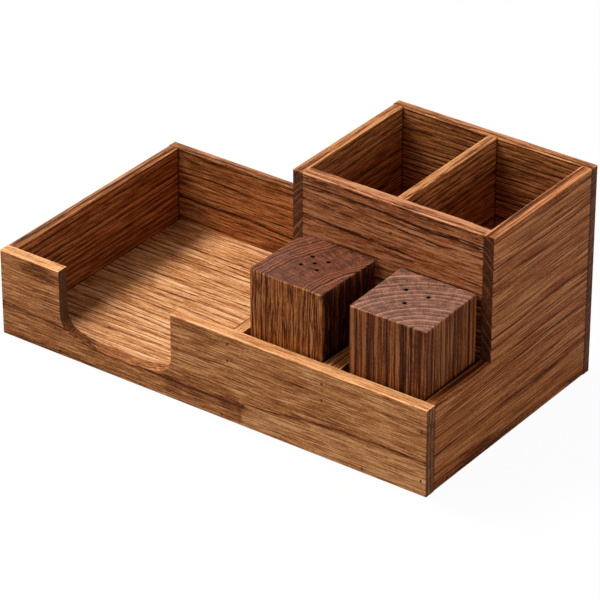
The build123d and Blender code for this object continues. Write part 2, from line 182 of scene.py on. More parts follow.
# Where in one ring of the end grain its pale line lies
RING_PALE = ((0.0, 0.0), (0.68, 0.0), (0.82, 1.0), (0.88, 1.0), (1.0, 0.0))
RING_DRIFT = 2.6  # rings over which the spacing drifts
RING_STRENGTH = (1.1, 0.2)  # what chance adds to a ring's strength, and the least strength
DASH_STRENGTH = (0.9, 0.9)  # what the dashes along the grain add, and the middle
PLAIN_EDGE = (-2.0, 1.0)  # where the rings start to come back beside a plain band, and are back
PLAIN_STRENGTH = 0.1  # of the rings inside a plain band

RAY_RADIUS = 70.0  # from the heart, where a ray has this width
RAY_WIDTH = 0.9
RAY_LENGTH = 12.0  # away from the heart
RAY_HEIGHT = 30.0  # along the grain
END_CLOUDS = 0.6

PORE_STEP = (0.15, 0.45)  # noise at which a pore begins and is fully dark
PORE_IN_RING = (-0.15, 0.4)  # ring tone at which pores are fewest and most
PORE_LEAST = 0.35
GLINT_STEP = (0.25, 0.5)

TOP_DEPTH = (2.0, 1.0)  # distance below the top at which the top begins and is reached
WORN_HIGHLIGHT_EDGE = (1.3, 0.3)  # distance from an arris at the top at which wear and its painted highlight begin and are full
WORN_HIGHLIGHT_TONE = -0.2
ARRIS_HIGHLIGHT_GAIN = 0.3  # how much brighter a worn arris is drawn: a painted highlight
ARRIS_SHADE_EDGE = (0.9, 0.2)  # the same for painted shade along the other arrises
ARRIS_SHADE_TONE = 0.25
CORNER_SHADE_EDGE = (1.3, 0.1)  # distance from an inner corner at which its line of painted shade begins and is full
CORNER_SHADE_TONE = 0.35
CORNER_SHADE_REACH = (1.5, 1.0)  # distance from the neighbour's box at which the line ends and is whole
BAND_CORE = 0.3  # share of a band's half width that has its full strength
BAND_FADE = 12.0  # height over which a band fades
FACING = (0.55, 0.95)  # part of the normal along an axis at which a face begins to face it, and does

PALE_END = 2.0  # the palest and the deepest colour of the cut ends, as shares of their common one
DEEP_END = 0.3
SPECULAR = 0.15
ROUGHNESS_OF_TONE = (0.2, -0.05)  # what dark wood adds to the roughness, and the shift
# Height of each part of the grain in the relief
RELIEF = {"fibre": 0.4, "streak": 0.4, "fine": 0.3, "pores": -0.8, "ring": -0.5}

# Dispensing holes, drawn nearly black in and just round each: X and Y, radius
DARKENED_HOLES = {
    "left_shaker_block": tuple((57.1 + dx, -54.9 + dy, 1.2) for dx, dy in (
        (0.0, 0.0), (6.3, 6.3), (6.3, -6.3), (-6.3, 6.3), (-6.3, -6.3))),
    "right_shaker_block": tuple((132.8 + dx, -52.9 + dy, 1.3) for dx, dy in (
        (8.4, 5.05), (-8.57, 4.75), (0.17, -9.8))),
}
HOLE_DARK_RIM = (0.5, 0.25)  # distance outside the hole at which the darkening begins and is full
HOLE_DARKENING = -0.96

# ------------------------------------------------------------------ the front panel's figure, in mm
# Dark growth lines: the height at the line's start and end, where it climbs from one to the other, where
# it starts and ends, the radius of its nose or 0, the half width and strength of the line, and those of
# the darker wood beside it
FRONT_LINES = (
    {"heights": (18.5, 26.0), "climb": (35.0, 115.0), "span": (27.0, 400.0), "nose": 8.0,
     "line": (0.7, 1.0), "band": (3.5, 0.10)},
    {"heights": (23.3, 14.5), "climb": (-133.0, -92.0), "span": (-400.0, 30.0), "nose": 0.0,
     "line": (0.9, 0.85), "band": (5.0, 0.16)},
    {"heights": (41.0, 41.5), "climb": (-30.0, 50.0), "span": (-30.0, 55.0), "nose": 0.0,
     "line": (0.5, 0.6), "band": (2.0, 0.08)},
)
LINE_CORE = 0.1  # shares of the half widths that have the full strength
LINE_BAND_CORE = 0.2
LINE_START = (-6.0, 2.0)  # beside the span's start, where a line begins and is whole
LINE_FINISH = (8.0, -8.0)  # beside the span's end, where it has ended and was last whole
NOSED_START = (-2.0, 22.0)  # the same for the line with a nose, which starts more faintly
NOSED_LEAST = 0.15
RAGGED_SIZE = (24.0, 3.0)  # the lines' stray: its size and reach
RAGGED_REACH = 2.2
BROKEN_SIZE = (14.0, 1.0)  # the lines' gaps: their size, the swing in strength and the middle
BROKEN_STRENGTH = (1.3, 0.8)
HONEY_INSIDE = 0.14  # how much paler the wood is under the nosed line, and how far below it
HONEY_EDGE = (-3.0, -1.0)
# Darker clouds: X and Z of the middle, half length and half height, strength
FRONT_CLOUDS = (
    (-141.0, 58.0, 18.0, 7.0, 0.36),
    (-5.0, 14.0, 34.0, 13.0, 0.17),
    (70.0, 47.0, 26.0, 3.0, 0.22),
    (-60.0, 13.0, 45.0, 6.0, 0.10),
    (-90.0, -1.0, 95.0, 8.0, 0.22),
    (-150.0, 66.0, 27.0, 4.0, 0.22),
    (-150.0, 30.0, 30.0, 40.0, 0.07),
    (22.0, 14.0, 12.0, 9.0, 0.16),
    (-8.0, 57.0, 26.0, 6.0, 0.14),
    (90.0, 29.0, 45.0, 2.5, 0.14),
)
FRONT_CLOUD_EDGE = (1.4, 0.2)  # squared distance, in half sizes, at which a cloud begins and is full
NOTCH_CHEEK = (-108.0, -122.0)  # X at which the dark end grain of the notch's left cheek begins, is full
CHEEK_SHADE = 0.62
NOTCH_FLOOR_SHADE = 0.3

# ------------------------------------------------------------------ rubber and steel, in mm
RUBBER_GRAIN = (0.5, 51.0)  # size and seed of a noise
RUBBER_DUST = (9.0, 52.0)
STEEL_MARKS = (0.3, 61.0)
RUBBER_RELIEF = 0.05
RUBBER_ROUGHNESS = (0.1, 0.72)  # what the noise adds, and the middle
STEEL_ROUGHNESS = (0.12, 0.5)
RUBBER_SHADE = (0.5, 0.45)
STEEL_SHADE = (0.5, 0.4)
DUSTY_RUBBER = 1.9  # the paler colour as a share of the darker
WORN_STEEL = 2.2
STEEL_METALLIC = 0.8

# ------------------------------------------------------------------ stage, in metres
# The camera of the photograph, in the part's frame; its lens and sensor are in mm
CAMERA_AT = (1.30374, -1.78129, 1.32562)
CAMERA_BACK = (0.50904, -0.69832, 0.50322)  # from what it looks at towards the camera
CAMERA_LENS = 227.76
CAMERA_SENSOR = 36.0
CAMERA_CLIP = (0.05, 30.0)

LAMP_TARGET = (0.0, 0.0, 0.06)
# Place, size and colour of each lamp; their powers are settings
LAMPS = {
    "key": ((-2.80, 0.0, 4.21), 1.5, (1.0, 0.98, 0.95)),
    "front": ((-0.9, -2.4, 2.0), 1.6, (1.0, 0.99, 0.98)),
    "side": ((2.1, -0.5, 0.55), 0.9, (1.0, 0.99, 0.98)),
}
WHITE = (1.0, 1.0, 1.0, 1.0)
FLOOR_SIZE = 8.0
FLOOR_CELLS = 8
FLOOR_DROP = 0.0004  # below the part, so that the two faces don't lie in each other
FLOOR_BOUNCE = 0.35  # how pale the floor is to the light that it throws back at the part
FLOOR_GLOW = 0.96  # share of plain white that the camera sees in the floor
FLOOR_GLOSS = 0.1  # and that shines in the part's oiled faces


def linear(red, green, blue):
    """Scene-linear colour of a display colour given in 0 to 255."""
    return tuple(
        ((c / 255 + 0.055) / 1.055) ** 2.4 if c > 10 else c / 255 / 12.92 for c in (red, green, blue))


def colour_property(label, text, colour):
    """A colour that the user can change."""
    return FloatVectorProperty(
        name=label, description=text, subtype="COLOR", size=3, min=0, max=1, default=colour)


def tone_property(label, text, *display):
    """The same, with its default as a display colour in 0 to 255."""
    return colour_property(label, text, linear(*display))


# ------------------------------------------------------------------ settings
class CaddyWoodSettings(bpy.types.PropertyGroup):
    """Colours of the oiled wood, its pores and its polish."""
    front_light: tone_property("Front Light", "Pale wood of the front panel", 234, 176, 120)
    front_mid: tone_property("Front Mid", "Common tone of the front panel", 189, 119, 65)
    front_dark: tone_property("Front Dark", "Growth lines of the front panel", 96, 47, 18)
    front_end: tone_property("Front End", "Cut end grain of the front panel", 143, 93, 58)
    tray_light: tone_property("Tray Light", "Pale wood of the tray's floor", 240, 190, 144)
    tray_mid: tone_property("Tray Mid", "Common tone of the tray's floor", 200, 135, 78)
    tray_dark: tone_property("Tray Dark", "Growth lines of the tray's floor", 98, 44, 12)
    tray_end: tone_property("Tray End", "Cut end grain of the tray's floor", 112, 66, 40)
    wall_light: tone_property("Wall Light", "Pale wood of the walls", 206, 139, 85)
    wall_mid: tone_property("Wall Mid", "Common tone of the walls", 151, 89, 41)
    wall_dark: tone_property("Wall Dark", "Growth lines of the walls", 55, 22, 6)
    wall_end: tone_property("Wall End", "Cut end grain of the walls", 113, 65, 36)
    side_light: tone_property("Side Light", "Pale wood of the right side", 218, 148, 92)
    side_mid: tone_property("Side Mid", "Common tone of the right side", 166, 92, 43)
    side_dark: tone_property("Side Dark", "Growth lines of the right side", 74, 29, 4)
    side_end: tone_property("Side End", "Cut end grain of the right side", 101, 54, 27)
    box_light: tone_property("Box Light", "Pale wood of the box's front wall", 202, 139, 95)
    box_mid: tone_property("Box Mid", "Common tone of the box's front wall", 159, 89, 44)
    box_dark: tone_property("Box Dark", "Growth lines of the box's front wall", 48, 18, 5)
    box_end: tone_property("Box End", "Cut end grain of the box's front wall", 92, 54, 32)
    dark_block_light: tone_property("Dark Block Light", "Pale wood of the left block", 190, 122, 66)
    dark_block_mid: tone_property("Dark Block Mid", "Common tone of the left block", 133, 68, 23)
    dark_block_dark: tone_property("Dark Block Dark", "Growth lines of the left block", 30, 11, 4)
    dark_block_end: tone_property("Dark Block End", "Cut end grain of the left block", 107, 60, 39)
    light_block_light: tone_property("Light Block Light", "Pale wood of the right block", 168, 104, 56)
    light_block_mid: tone_property("Light Block Mid", "Common tone of the right block", 106, 51, 19)
    light_block_dark: tone_property("Light Block Dark", "Growth lines of the right block", 36, 14, 4)
    light_block_end: tone_property("Light Block End", "Cut end grain of the right block", 134, 93, 75)
    pore_width: FloatProperty(
        name="Pore Width", description="Across the open pores, in millimetres",
        default=0.55, min=0.1, max=2)
    relief: FloatProperty(
        name="Relief", description="Depth of the brushed grain, in millimetres",
        default=0.16, min=0, max=1)
    polish: FloatProperty(
        name="Roughness", description="Roughness of the oiled surface", subtype="FACTOR",
        default=0.5, min=0, max=1)


class CaddyFittingSettings(bpy.types.PropertyGroup):
    """Colours of the brads and the stoppers."""
    brad: tone_property("Brad", "Dull steel of the punched heads", 58, 50, 44)
    rubber: tone_property("Rubber", "Soft rubber of the stoppers", 52, 48, 45)


class CaddyStageSettings(bpy.types.PropertyGroup):
    """Light and floor."""
    floor_colour: colour_property("Floor", "Pale floor", (0.86, 0.86, 0.86))
    key_power: FloatProperty(
        name="Key", description="Softbox above and to the left", subtype="POWER", default=242, min=0)
    front_power: FloatProperty(
        name="Front Fill", description="Broad fill from the front left", subtype="POWER",
        default=34, min=0)
    side_power: FloatProperty(
        name="Side Fill", description="Low fill from the right", subtype="POWER", default=10.3, min=0)
    world_strength: FloatProperty(
        name="Room", description="Even light of the room", default=0.14, min=0, max=2)


# ------------------------------------------------------------------ nodes
class Graph:
    """Short calls that add nodes to one tree.  A value is a number, a tuple or a node's output."""

    def __init__(self, tree):
        self.tree = tree
        tree.nodes.clear()

    def put(self, value, socket):
        if isinstance(value, bpy.types.NodeSocket):
            self.tree.links.new(value, socket)
        else:
            socket.default_value = value

    def node(self, kind, **settings):
        made = self.tree.nodes.new(kind)
        for name, value in settings.items():
            setattr(made, name, value)
        return made

    def math(self, operation, *values, clamp=False):
        made = self.node("ShaderNodeMath", operation=operation, use_clamp=clamp)
        for value, socket in zip(values, made.inputs):
            self.put(value, socket)
        return made.outputs[0]

    def times(self, a, b):
        return self.math("MULTIPLY", a, b)

    def times_plus(self, a, b, c):
        """a times b, plus c."""
        return self.math("MULTIPLY_ADD", a, b, c)

    def minus(self, a, b):
        return self.math("SUBTRACT", a, b)

    def apart(self, a, b):
        """How far the two lie from each other."""
        return self.math("ABSOLUTE", self.minus(a, b))

    def smaller(self, a, b):
        return self.math("MINIMUM", a, b)

    def larger(self, a, b):
        return self.math("MAXIMUM", a, b)

    def length(self, a, b):
        """Of the vector that has these two parts."""
        return self.math("SQRT", self.times_plus(a, a, self.times(b, b)))

    def total(self, *values):
        result = values[0]
        for value in values[1:]:
            result = self.math("ADD", result, value)
        return result

    def clamped(self, value):
        return self.math("ADD", value, 0.0, clamp=True)

    def scaled(self, value, size):
        """The value in units of that many mm."""
        return self.math("DIVIDE", value, float(size))

    def point(self, x, y, z):
        made = self.node("ShaderNodeCombineXYZ")
        for value, socket in zip((x, y, z), made.inputs):
            self.put(value, socket)
        return made.outputs[0]

    def parts(self, vector):
        made = self.node("ShaderNodeSeparateXYZ")
        self.put(vector, made.inputs[0])
        return made.outputs[0], made.outputs[1], made.outputs[2]

    def place_mm(self):
        """X, Y and Z of the object's own coordinates, in mm."""
        place = self.node("ShaderNodeTexCoord").outputs["Object"]
        return tuple(self.times(part, 1 / MM) for part in self.parts(place))

    def facing(self, axis):
        """1 where the surface faces along that axis, either way."""
        normal = self.node("ShaderNodeTexCoord").outputs["Normal"]
        part = self.parts(normal)["XYZ".index(axis)]
        return self.smooth(self.math("ABSOLUTE", part), *FACING)

    def smooth(self, value, start, end, low=0.0, high=1.0):
        made = self.node("ShaderNodeMapRange", interpolation_type="SMOOTHSTEP")
        names = ("Value", "From Min", "From Max", "To Min", "To Max")
        for given, name in zip((value, start, end, low, high), names):
            self.put(given, made.inputs[name])
        return made.outputs[0]

    def noise(self, u, v, w, seed, detail=2.0, roughness=0.5):
        """From -1 to 1."""
        made = self.node("ShaderNodeTexNoise")
        self.put(self.point(self.math("ADD", u, seed * SEED_STRIDE), v, w), made.inputs["Vector"])
        self.put(1.0, made.inputs["Scale"])
        self.put(detail, made.inputs["Detail"])
        self.put(roughness, made.inputs["Roughness"])
        return self.times_plus(made.outputs[0], 2.0, -1.0)

    def even_noise(self, size, seed, detail, roughness=0.5):
        """Noise of one size all ways."""
        x, y, z = (self.scaled(part, size) for part in self.place_mm())
        return self.noise(x, y, z, seed, detail, roughness)

    def ramp(self, value, stops):
        """Colour over the value; each stop is a place and a colour."""
        made = self.node("ShaderNodeValToRGB")
        steps = made.color_ramp.elements
        while len(steps) < len(stops):
            steps.new(0.5)
        for step, (place, colour) in zip(steps, stops):
            step.position = place
            step.color = (*colour, 1.0)
        self.put(value, made.inputs[0])
        return made.outputs[0]

    def curve(self, value, stops):
        """The same with a plain number at each stop."""
        return self.ramp(value, [(place, (level, level, level)) for place, level in stops])

    def bump(self, height, depth_mm):
        made = self.node("ShaderNodeBump")
        self.put(1.0, made.inputs["Strength"])
        self.put(depth_mm * MM, made.inputs["Distance"])
        self.put(height, made.inputs["Height"])
        return made.outputs[0]

    def surface(self, output):
        self.put(output, self.node("ShaderNodeOutputMaterial").inputs["Surface"])


def new_material(name):
    """An empty node material and its graph."""
    material = bpy.data.materials.new(name)
    material.use_nodes = True
    return material, Graph(material.node_tree)


# ------------------------------------------------------------------ grain
def seed_of(board, noise):
    return board["seed"] + NOISES.index(noise)


def wood_point(g, grain):
    """Object place in mm as (u, v, w), with u along the fibres."""
    places = dict(zip("XYZ", g.place_mm()))
    return tuple(places[axis] for axis in GRAIN_ORDER[grain])


def strands(g, point, size, seed, detail=2.0, roughness=0.5):
    """Noise drawn out along the grain, from -1 to 1."""
    u, v, w = point
    along, across = size
    return g.noise(
        g.scaled(u, along), g.scaled(v, across), g.scaled(w, across), seed, detail, roughness)


def swayed(g, board, point):
    """The point with the bend of the fibres taken out, so that what is drawn on it bends with them."""
    u, v, w = point
    aside = strands(g, point, board["sway_size"], seed_of(board, "aside"), detail=1.0)
    upward = strands(g, point, board["sway_size"], seed_of(board, "upward"), detail=1.0)
    return u, g.times_plus(aside, board["sway"], v), g.times_plus(upward, board["sway"], w)


def from_heart(g, board, point):
    """The two parts, across the grain, of the way from the tree's heart to the point."""
    _, v, w = point
    return g.minus(v, board["heart"][0]), g.minus(w, board["heart"][1])


def ring_radius(g, board, point):
    """Distance from the tree's heart, with a slow and a quick stray."""
    radius = g.length(*from_heart(g, board, point))
    long_stray, short_stray = board["wander"]
    slow = strands(g, point, SLOW_STRAY_SIZE, seed_of(board, "slow_stray"))
    quick = strands(g, point, board["wander_size"], seed_of(board, "quick_stray"))
    return g.total(radius, g.times(slow, long_stray), g.times(quick, short_stray))


def growth_rings(g, board, point):
    """Dark and pale line of each ring, uneven in width and strength and broken along the grain, and
    the radius."""
    radius = ring_radius(g, board, point)
    uneven = g.noise(
        g.scaled(radius, RING_DRIFT * board["spacing"]), 0.0, 0.0, seed_of(board, "uneven"), detail=1.0)
    count = g.math("ADD", g.scaled(radius, board["spacing"]), uneven)
    phase = g.math("FRACT", count)
    dark = g.curve(phase, RING_TONE)
    pale = g.curve(phase, RING_PALE)
    chance = g.node("ShaderNodeTexWhiteNoise", noise_dimensions="1D")
    g.put(g.math("FLOOR", count), chance.inputs["W"])
    strength = g.times_plus(chance.outputs["Value"], *RING_STRENGTH)
    dashes = strands(g, point, board["dash_size"], seed_of(board, "dash"), detail=1.0)
    strength = g.times(strength, g.times_plus(dashes, *DASH_STRENGTH))
    if board["plain"]:
        place, half = board["plain"]
        inner, outer = (half + edge for edge in PLAIN_EDGE)
        strength = g.times(strength, g.smooth(g.apart(radius, place), inner, outer, PLAIN_STRENGTH))
    dark = g.times(g.minus(dark, RING_MEAN), strength)
    return dark, g.times(pale, strength), radius


def grain_parts(g, board, point, ring, pore_width):
    """Every part of the grain that lies along the fibres."""
    def lengthwise(noise, **settings):
        return strands(g, point, board[f"{noise}_size"], seed_of(board, noise), **settings)

    pores = strands(g, point, (PORE_LENGTH, pore_width), seed_of(board, "pore"), detail=1.0)
    return {
        "ring": ring,
        "streak": lengthwise("streak", detail=2.0, roughness=0.6),
        "fibre": lengthwise("fibre", detail=2.0, roughness=0.6),
        "fine": lengthwise("fine", detail=1.0),
        "grit": strands(g, point, GRIT_SIZE, seed_of(board, "grit"), detail=1.0),
        "blotch": strands(g, point, BLOTCH_SIZE, seed_of(board, "blotch")),
        "pores": g.times(g.smooth(pores, *PORE_STEP), g.smooth(ring, *PORE_IN_RING, PORE_LEAST)),
    }


def wood_bands(g, board, point):
    """Darker and paler bands of this board, which bend with its fibres."""
    places = dict(zip(GRAIN_ORDER[board["grain"]], point))
    tone = 0.0
    for axis, place, half, strength, *ceiling in board["bands"]:
        band = g.smooth(g.apart(places[axis], place), half, BAND_CORE * half, 0.0, strength)
        if ceiling:
            faded = ceiling[0]
            band = g.times(band, g.smooth(places["Z"], faded, faded - BAND_FADE))
        tone = g.math("ADD", tone, band)
    return tone


def end_tone(g, board, point, rings):
    """Tone of the cut ends: ring lines dark and pale, specks, clouds, and rays across the rings."""
    dark, pale, radius = rings
    along_v, along_w = from_heart(g, board, point)
    turns = g.scaled(g.math("ARCTAN2", along_w, along_v), RAY_WIDTH / RAY_RADIUS)
    rays = g.noise(
        turns, g.scaled(radius, RAY_LENGTH), g.scaled(point[0], RAY_HEIGHT), seed_of(board, "ray"),
        detail=1.0)
    specks = strands(g, point, SPECK_SIZE, seed_of(board, "speck"))
    clouds = strands(g, point, CLOUD_SIZE, seed_of(board, "cloud"))
    return g.total(
        MID_TONE + board["end"],
        g.times(dark, board["end_ring"]),
        g.times(pale, -board["end_pale"]),
        g.times(rays, board["ray"]),
        g.times(specks, board["speck"]),
        g.times(clouds, END_CLOUDS),
    )


# ------------------------------------------------------------------ wear, painted highlights and painted shade
def edge_distance(g, low, high):
    """Distance in mm to the nearest arris of the box: the middle one of the three gaps to its faces."""
    gaps = []
    for place, a, b in zip(g.place_mm(), low, high):
        gaps.append(g.smaller(g.minus(place, a / MM), g.minus(b / MM, place)))
    first, second, third = gaps
    return g.larger(g.smaller(first, second), g.smaller(g.larger(first, second), third))


def edge_wear_highlight_and_shade(g, name):
    """Where the board is near its top, worn and with a painted highlight along the top's arrises, and
    with painted shade along the others.
    """
    low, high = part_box(name)
    edge = edge_distance(g, low, high)
    at_top = g.smooth(g.minus(high[2] / MM, g.place_mm()[2]), *TOP_DEPTH)
    worn_and_highlit = g.times(g.smooth(edge, *WORN_HIGHLIGHT_EDGE), at_top)
    arris_shade = g.times(g.smooth(edge, *ARRIS_SHADE_EDGE), g.times_plus(at_top, -ARRIS_SHADE_TONE, ARRIS_SHADE_TONE))
    return at_top, worn_and_highlit, arris_shade


def painted_corner_shade(g, board):
    """Painted shade: a dark line in the corners where neighbours meet this board, on the face that they
    touch.
    """
    tone = 0.0
    places = g.place_mm()
    for axis, names in board["meets"].items():
        across = "XYZ".index(axis)
        others = [i for i in range(3) if i != across]
        for name in names:
            low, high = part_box(name)
            near = 1.0
            for i in others:
                beyond = g.larger(g.minus(low[i] / MM, places[i]), g.minus(places[i], high[i] / MM))
                near = g.times(near, g.smooth(beyond, *CORNER_SHADE_REACH))
            for side in (low, high):
                gap = g.apart(places[across], side[across] / MM)
                tone = g.times_plus(g.smooth(gap, *CORNER_SHADE_EDGE, 0.0, CORNER_SHADE_TONE), near, tone)
    return tone


def hole_darkening(g, name):
    """1 in and just round each drilled hole of the block."""
    x, y, _ = g.place_mm()
    mask = 0.0
    for hole_x, hole_y, radius in DARKENED_HOLES[name]:
        away = g.length(g.minus(x, hole_x), g.minus(y, hole_y))
        start, full = (radius + rim for rim in HOLE_DARK_RIM)
        mask = g.larger(mask, g.smooth(away, start, full))
    return mask


# ------------------------------------------------------------------ the front panel's figure
def nosed_line(g, x, z, line):
    """Distance in mm from a line that runs along X at a height and, where it has a nose, turns down at
    its start in an arc of that radius: the distance to a box with one rounded corner."""
    height = g.smooth(x, *line["climb"], *line["heights"])
    above = g.minus(z, height)
    nose = line["nose"]
    if not nose:
        return above
    before = g.math("ADD", g.minus(line["span"][0], x), nose)
    over = g.math("ADD", above, nose)
    outside = g.length(g.larger(before, 0.0), g.larger(over, 0.0))
    inside = g.smaller(g.larger(before, over), 0.0)
    return g.minus(g.math("ADD", outside, inside), nose)


def front_figure(g, board, point):
    """The long growth lines of the front panel, each ragged along the fibres, and its darker clouds."""
    x, _, z = point
    stray = strands(g, point, RAGGED_SIZE, seed_of(board, "ragged"), detail=3.0, roughness=0.6)
    ragged = g.times(stray, RAGGED_REACH)
    gaps = strands(g, point, BROKEN_SIZE, seed_of(board, "broken"), detail=1.0)
    broken = g.times_plus(gaps, *BROKEN_STRENGTH)
    tone = 0.0
    for line in FRONT_LINES:
        off = g.math("ADD", nosed_line(g, x, z, line), ragged)
        aside = g.math("ABSOLUTE", off)
        first, last = line["span"]
        reach = g.times(
            g.smooth(x, first + LINE_START[0], first + LINE_START[1]),
            g.smooth(x, last + LINE_FINISH[0], last + LINE_FINISH[1]))
        width, strength = line["line"]
        dark = g.smooth(aside, width, LINE_CORE * width, 0.0, strength)
        if line["nose"]:
            start, whole = (first + step for step in NOSED_START)
            dark = g.times(dark, g.smooth(x, start, whole, NOSED_LEAST))
        wide, faint = line["band"]
        band = g.smooth(aside, wide, LINE_BAND_CORE * wide, 0.0, faint)
        tone = g.times_plus(g.times_plus(dark, broken, band), reach, tone)
        if line["nose"]:
            tone = g.math("ADD", tone, g.smooth(off, *HONEY_EDGE, -HONEY_INSIDE, 0.0))
    for middle_x, middle_z, half_x, half_z, strength in FRONT_CLOUDS:
        dx = g.scaled(g.minus(x, middle_x), half_x)
        dz = g.scaled(g.minus(g.math("ADD", z, ragged), middle_z), half_z)
        away = g.times_plus(dx, dx, g.times(dz, dz))
        tone = g.math("ADD", tone, g.smooth(away, *FRONT_CLOUD_EDGE, 0.0, strength))
    return tone


def front_extras(g, board, point, at_top, tone, cut):
    """The tones with the front panel's figure on its upright faces and the notch's darker faces."""
    upward = g.facing("Z")
    notch_floor = g.times(upward, g.minus(1.0, at_top))
    tone = g.times_plus(front_figure(g, board, point), g.minus(1.0, upward), tone)
    tone = g.times_plus(notch_floor, NOTCH_FLOOR_SHADE, tone)
    return tone, g.math("ADD", cut, g.smooth(point[0], *NOTCH_CHEEK, 0.0, CHEEK_SHADE))


# ------------------------------------------------------------------ oiled wood
def wood_colour(g, tone, cut, ends, wood, colours):
    """Colour of the long faces and the cut ends from their tones."""
    light, mid, dark, end = (
        getattr(wood, f"{colours}_{step}") for step in ("light", "mid", "dark", "end"))
    pale_end = tuple(min(1.0, PALE_END * part) for part in end)
    deep_end = tuple(DEEP_END * part for part in end)
    mix = g.node("ShaderNodeMix", data_type="RGBA")
    g.put(ends, mix.inputs["Factor"])
    g.put(g.ramp(tone, [(0.0, light), (MID_TONE, mid), (1.0, dark)]), mix.inputs["A"])
    g.put(g.ramp(cut, [(0.0, pale_end), (MID_TONE, end), (1.0, deep_end)]), mix.inputs["B"])
    return mix.outputs["Result"]


def oiled_wood(name, board, wood):
    """The parts of the grain give a tone from light to dark, and the relief."""
    material, g = new_material(f"{name}_oiled")
    straight = wood_point(g, board["grain"])
    point = swayed(g, board, straight)
    rings = growth_rings(g, board, point)
    parts = grain_parts(g, board, point, rings[0], wood.pore_width)
    at_top, worn_and_highlit, arris_shade = edge_wear_highlight_and_shade(g, name)
    # Painted light in the tone: the worn top arrises paler as a painted highlight, painted shade along
    # the other arrises and in the corners
    wear_and_painted_light = g.total(painted_corner_shade(g, board), g.times(worn_and_highlit, WORN_HIGHLIGHT_TONE), arris_shade)
    flat_top = g.times(g.facing("Z"), at_top)
    top_streak = strands(g, point, TOP_STREAK_SIZE, seed_of(board, "top_streak"))

    tone = g.total(
        MID_TONE + board["tone"],
        g.times(parts["ring"], board["ring"]),
        *(g.times(parts[part], board[part] * HALF)
          for part in ("streak", "fibre", "fine", "grit", "blotch")),
        g.times(parts["pores"], board["pore"]),
        g.times(flat_top, g.times_plus(top_streak, board["top_streak"], board["rim"])),
        wood_bands(g, board, point),
        wear_and_painted_light,
    )
    cut = g.math("ADD", end_tone(g, board, point, rings), wear_and_painted_light)
    if name == "front_panel":
        tone, cut = front_extras(g, board, straight, at_top, tone, cut)
    # Pale dashes: painted glints of light in the pores, partly pale filler in them
    if board["glint"]:
        glint = strands(g, point, GLINT_SIZE, seed_of(board, "glint"), detail=1.0)
        tone = g.minus(tone, g.times(g.smooth(glint, *GLINT_STEP), board["glint"]))
    tone, cut = g.clamped(tone), g.clamped(cut)

    # Painted highlight: the worn top arrises drawn brighter; the holes drawn nearly black
    shade = g.times_plus(worn_and_highlit, ARRIS_HIGHLIGHT_GAIN, 1.0)
    if name in DARKENED_HOLES:
        shade = g.times(shade, g.times_plus(hole_darkening(g, name), HOLE_DARKENING, 1.0))
    shaded = g.node("ShaderNodeVectorMath", operation="SCALE")
    g.put(wood_colour(g, tone, cut, g.facing(board["grain"]), wood, board["colours"]), shaded.inputs[0])
    g.put(shade, shaded.inputs["Scale"])

    shader = g.node("ShaderNodeBsdfPrincipled")
    shader.inputs["Specular IOR Level"].default_value = SPECULAR
    rougher, shift = ROUGHNESS_OF_TONE
    g.put(shaded.outputs[0], shader.inputs["Base Color"])
    g.put(g.times_plus(tone, rougher, wood.polish + shift), shader.inputs["Roughness"])
    height = g.total(*(g.times(parts[part], rise) for part, rise in RELIEF.items()))
    g.put(g.bump(height, wood.relief), shader.inputs["Normal"])
    g.surface(shader.outputs[0])
    return material


def dress(name, material):
    """Gives a CAD node its material."""
    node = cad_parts[name]
    node.data.materials.clear()
    node.data.materials.append(material)


def finish_boards(names, context):
    for name in names:
        board = {**PLAIN_BOARD, **BOARDS[name]}
        dress(name, oiled_wood(name, board, context.scene.caddy_wood))


# ------------------------------------------------------------------ rubber and steel
def mottled(g, noise, shade, colour, gain):
    """The colour, paler in spots by up to the gain."""
    pale = tuple(min(1.0, gain * part) for part in colour)
    return g.ramp(g.times_plus(noise, *shade), [(0.0, colour), (1.0, pale)])


def soft_rubber(colour):
    """Matt rubber with a fine moulded grain and a little dust."""
    material, g = new_material("bung_rubber")
    grain = g.even_noise(*RUBBER_GRAIN, detail=3.0)
    dust = g.even_noise(*RUBBER_DUST, detail=4.0, roughness=0.65)
    shader = g.node("ShaderNodeBsdfPrincipled")
    g.put(mottled(g, dust, RUBBER_SHADE, colour, DUSTY_RUBBER), shader.inputs["Base Color"])
    g.put(g.times_plus(dust, *RUBBER_ROUGHNESS), shader.inputs["Roughness"])
    g.put(g.bump(grain, RUBBER_RELIEF), shader.inputs["Normal"])
    g.surface(shader.outputs[0])
    return material


def dull_steel(colour):
    """Darkened steel with the marks of the punch."""
    material, g = new_material("brad_steel")
    marks = g.even_noise(*STEEL_MARKS, detail=2.0)
    shader = g.node("ShaderNodeBsdfPrincipled")
    g.put(mottled(g, marks, STEEL_SHADE, colour, WORN_STEEL), shader.inputs["Base Color"])
    g.put(g.times_plus(marks, *STEEL_ROUGHNESS), shader.inputs["Roughness"])
    shader.inputs["Metallic"].default_value = STEEL_METALLIC
    g.surface(shader.outputs[0])
    return material


